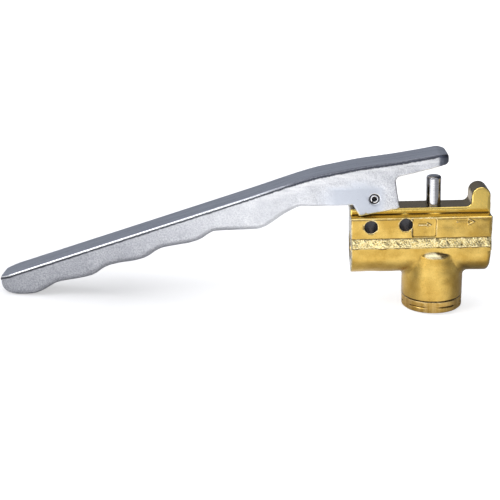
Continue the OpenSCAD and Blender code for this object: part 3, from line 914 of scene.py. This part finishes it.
def camera():
    """Camera of the product view: from the front and a little above, with a slight roll."""
    distance, below, turn, roll = 455.5, math.radians(18.6), math.radians(2.9), math.radians(-2.06)
    aim = Vector((-79.7, -4.3, 28.0))
    back = Vector((math.sin(turn) * math.cos(below), -math.cos(turn) * math.cos(below), math.sin(below)))
    data = bpy.data.cameras.new("camera")
    data.lens = 75
    data.sensor_width = 36
    data.clip_start = 0.01
    made = bpy.data.objects.new("camera", data)
    look = (-back).to_track_quat("-Z", "Y").to_matrix().to_4x4()
    made.matrix_world = (Matrix.Translation((aim + back * distance) * MM) @ look
                         @ Matrix.Rotation(roll, 4, "Z"))
    bpy.context.scene.collection.objects.link(made)
    bpy.context.scene.camera = made


def floor_shadow(p, x, y):
    """Light of the floor to the camera: less near the valve, where a soft shadow has to show."""

    def away(at_x):
        """Distance on the floor from the point (at_x, 0), in metres."""
        along = p.math("SUBTRACT", x, at_x * MM)
        return p.math("SQRT", p.math("ADD", p.times(along, along), p.times(y, y)))

    seen = p.ramp(away(-80), 160, 420, SHADOW_GLOW, 1.05)
    return p.math("SUBTRACT", seen, p.ramp(away(-165), 30, 90, 0.22, 0))


def floor_table(p, x, y):
    """Light of the floor to all but the camera: a light table in front of the valve, and a strip on
    the left, which the metal mirrors."""
    near = p.times(p.smooth(y, -0.008, -0.036), p.smooth(x, -0.048, -0.030))
    front = p.times(p.math("MAXIMUM", near, p.smooth(y, -0.030, -0.085)), p.smooth(y, -0.60, -0.30))
    across = p.times(p.smooth(x, -0.30, -0.18), p.smooth(x, 0.074, 0.010),
                     p.math("ADD", p.times(p.smooth(x, -0.150, -0.085), 0.60), 0.40))
    patchy = p.remap(p.noise(24, 2), 0.35, 0.65, 0.84, 1.12)
    lever_side = p.math("ADD", 1.0, p.times(p.smooth(x, -0.034, -0.055), 0.95))
    table = p.times(front, across, TABLE_GLOW, patchy, lever_side)
    left = p.times(p.smooth(x, 0.01, -0.04), p.smooth(x, -0.10, -0.06), p.smooth(y, -0.03, 0.01))
    return p.math("ADD", table, p.times(left, SIDE_GLOW))


def floor():
    """Pale floor that touches the cap's edge and the lever's lowest point, where the valve rests."""
    points = np.zeros(len(nodes["lever"].data.vertices) * 3, np.float32)
    nodes["lever"].data.vertices.foreach_get("co", points)
    points = points.reshape(-1, 3) / MM
    nose_length, gap, half = 40, 0.08, 4000.0
    nose = points[points[:, 0] < lever_low[0] + nose_length]
    slope = ((nose[:, 2] - gap) / (-boss_r - nose[:, 0])).min()
    corners = [(sx * half, sy * half, -slope * (sx * half + boss_r)) for sx, sy in
               ((-1, -1), (1, -1), (1, 1), (-1, 1))]
    mesh = bpy.data.meshes.new("floor")
    mesh.from_pydata([tuple(c * MM for c in corner) for corner in corners], [], [(0, 1, 2, 3)])
    made = bpy.data.objects.new("floor", mesh)
    bpy.context.scene.collection.objects.link(made)

    p = Paint("floor")
    x, y = p.axis("X"), p.axis("Y")
    seen, table = floor_shadow(p, x, y), floor_table(p, x, y)
    by_camera = p.node("ShaderNodeLightPath").outputs["Is Camera Ray"]
    glow = p.math("ADD", table, p.times(by_camera, p.math("SUBTRACT", seen, table)))
    for key, value in (("Base Color", (0.50, 0.50, 0.51)), ("Roughness", 0.9),
                       ("Specular IOR Level", 0.0), ("Emission Color", (1, 1, 1)),
                       ("Emission Strength", glow)):
        p.feed(p.shader.inputs[key], value)
    mesh.materials.append(p.material)


def lamp(name, at, aim, size, power):
    """Soft rectangular light at one point, in metres, that shines towards another."""
    data = bpy.data.lights.new(name, "AREA")
    data.shape = "RECTANGLE"
    data.size, data.size_y = size
    data.energy = power
    made = bpy.data.objects.new(name, data)
    made.location = at
    made.rotation_euler = (Vector(aim) - Vector(at)).to_track_quat("-Z", "Y").to_euler()
    bpy.context.scene.collection.objects.link(made)


def world():
    """White backdrop to the camera. To the metal, a grey studio that is dim on the right of the
    valve and bright behind the camera."""
    scene = bpy.context.scene
    scene.world = bpy.data.worlds.new("studio")
    scene.world.use_nodes = True
    graph = Graph(scene.world.node_tree, "Generated")
    colour = (0.25, 0.27, 0.315)
    for axis, low, high, tint in (("X", -0.1, 0.7, (0.035, 0.038, 0.048)),
                                  ("Y", -0.3, -0.8, (0.55, 0.56, 0.59))):
        colour = graph.blend(graph.smooth(graph.axis(axis), low, high), colour, tint)
    studio = graph.tree.nodes["Background"]
    backdrop = graph.node("ShaderNodeBackground")
    graph.feed(studio.inputs["Color"], colour)
    graph.feed(backdrop.inputs["Color"], (1, 1, 1))
    mix = graph.node("ShaderNodeMixShader")
    graph.feed(mix.inputs[0], graph.node("ShaderNodeLightPath").outputs["Is Camera Ray"])
    graph.feed(mix.inputs[1], studio.outputs["Background"])
    graph.feed(mix.inputs[2], backdrop.outputs["Background"])
    graph.feed(graph.tree.nodes["World Output"].inputs["Surface"], mix.outputs["Shader"])
    scene.view_settings.view_transform = "Standard"


camera()
world()
floor()
lamp("overhead", (-0.28, -0.05, 0.75), (-0.28, -0.03, 0.02), (1.3, 0.9), 4.9)
lamp("left", (-0.62, -0.42, 0.60), (-0.12, 0, 0.03), (0.5, 0.5), 2.6)
finishes = paint_nodes()
for made, finish in ((body_forging(), "forged_brass"), (cap_turning(), "cap_brass"),
                     (spring_pin(), "spring_steel"), (lever_casting(), "cast_aluminium"),
                     (stem_rod(), "ground_steel")):
    made.data.materials.append(finishes[finish])
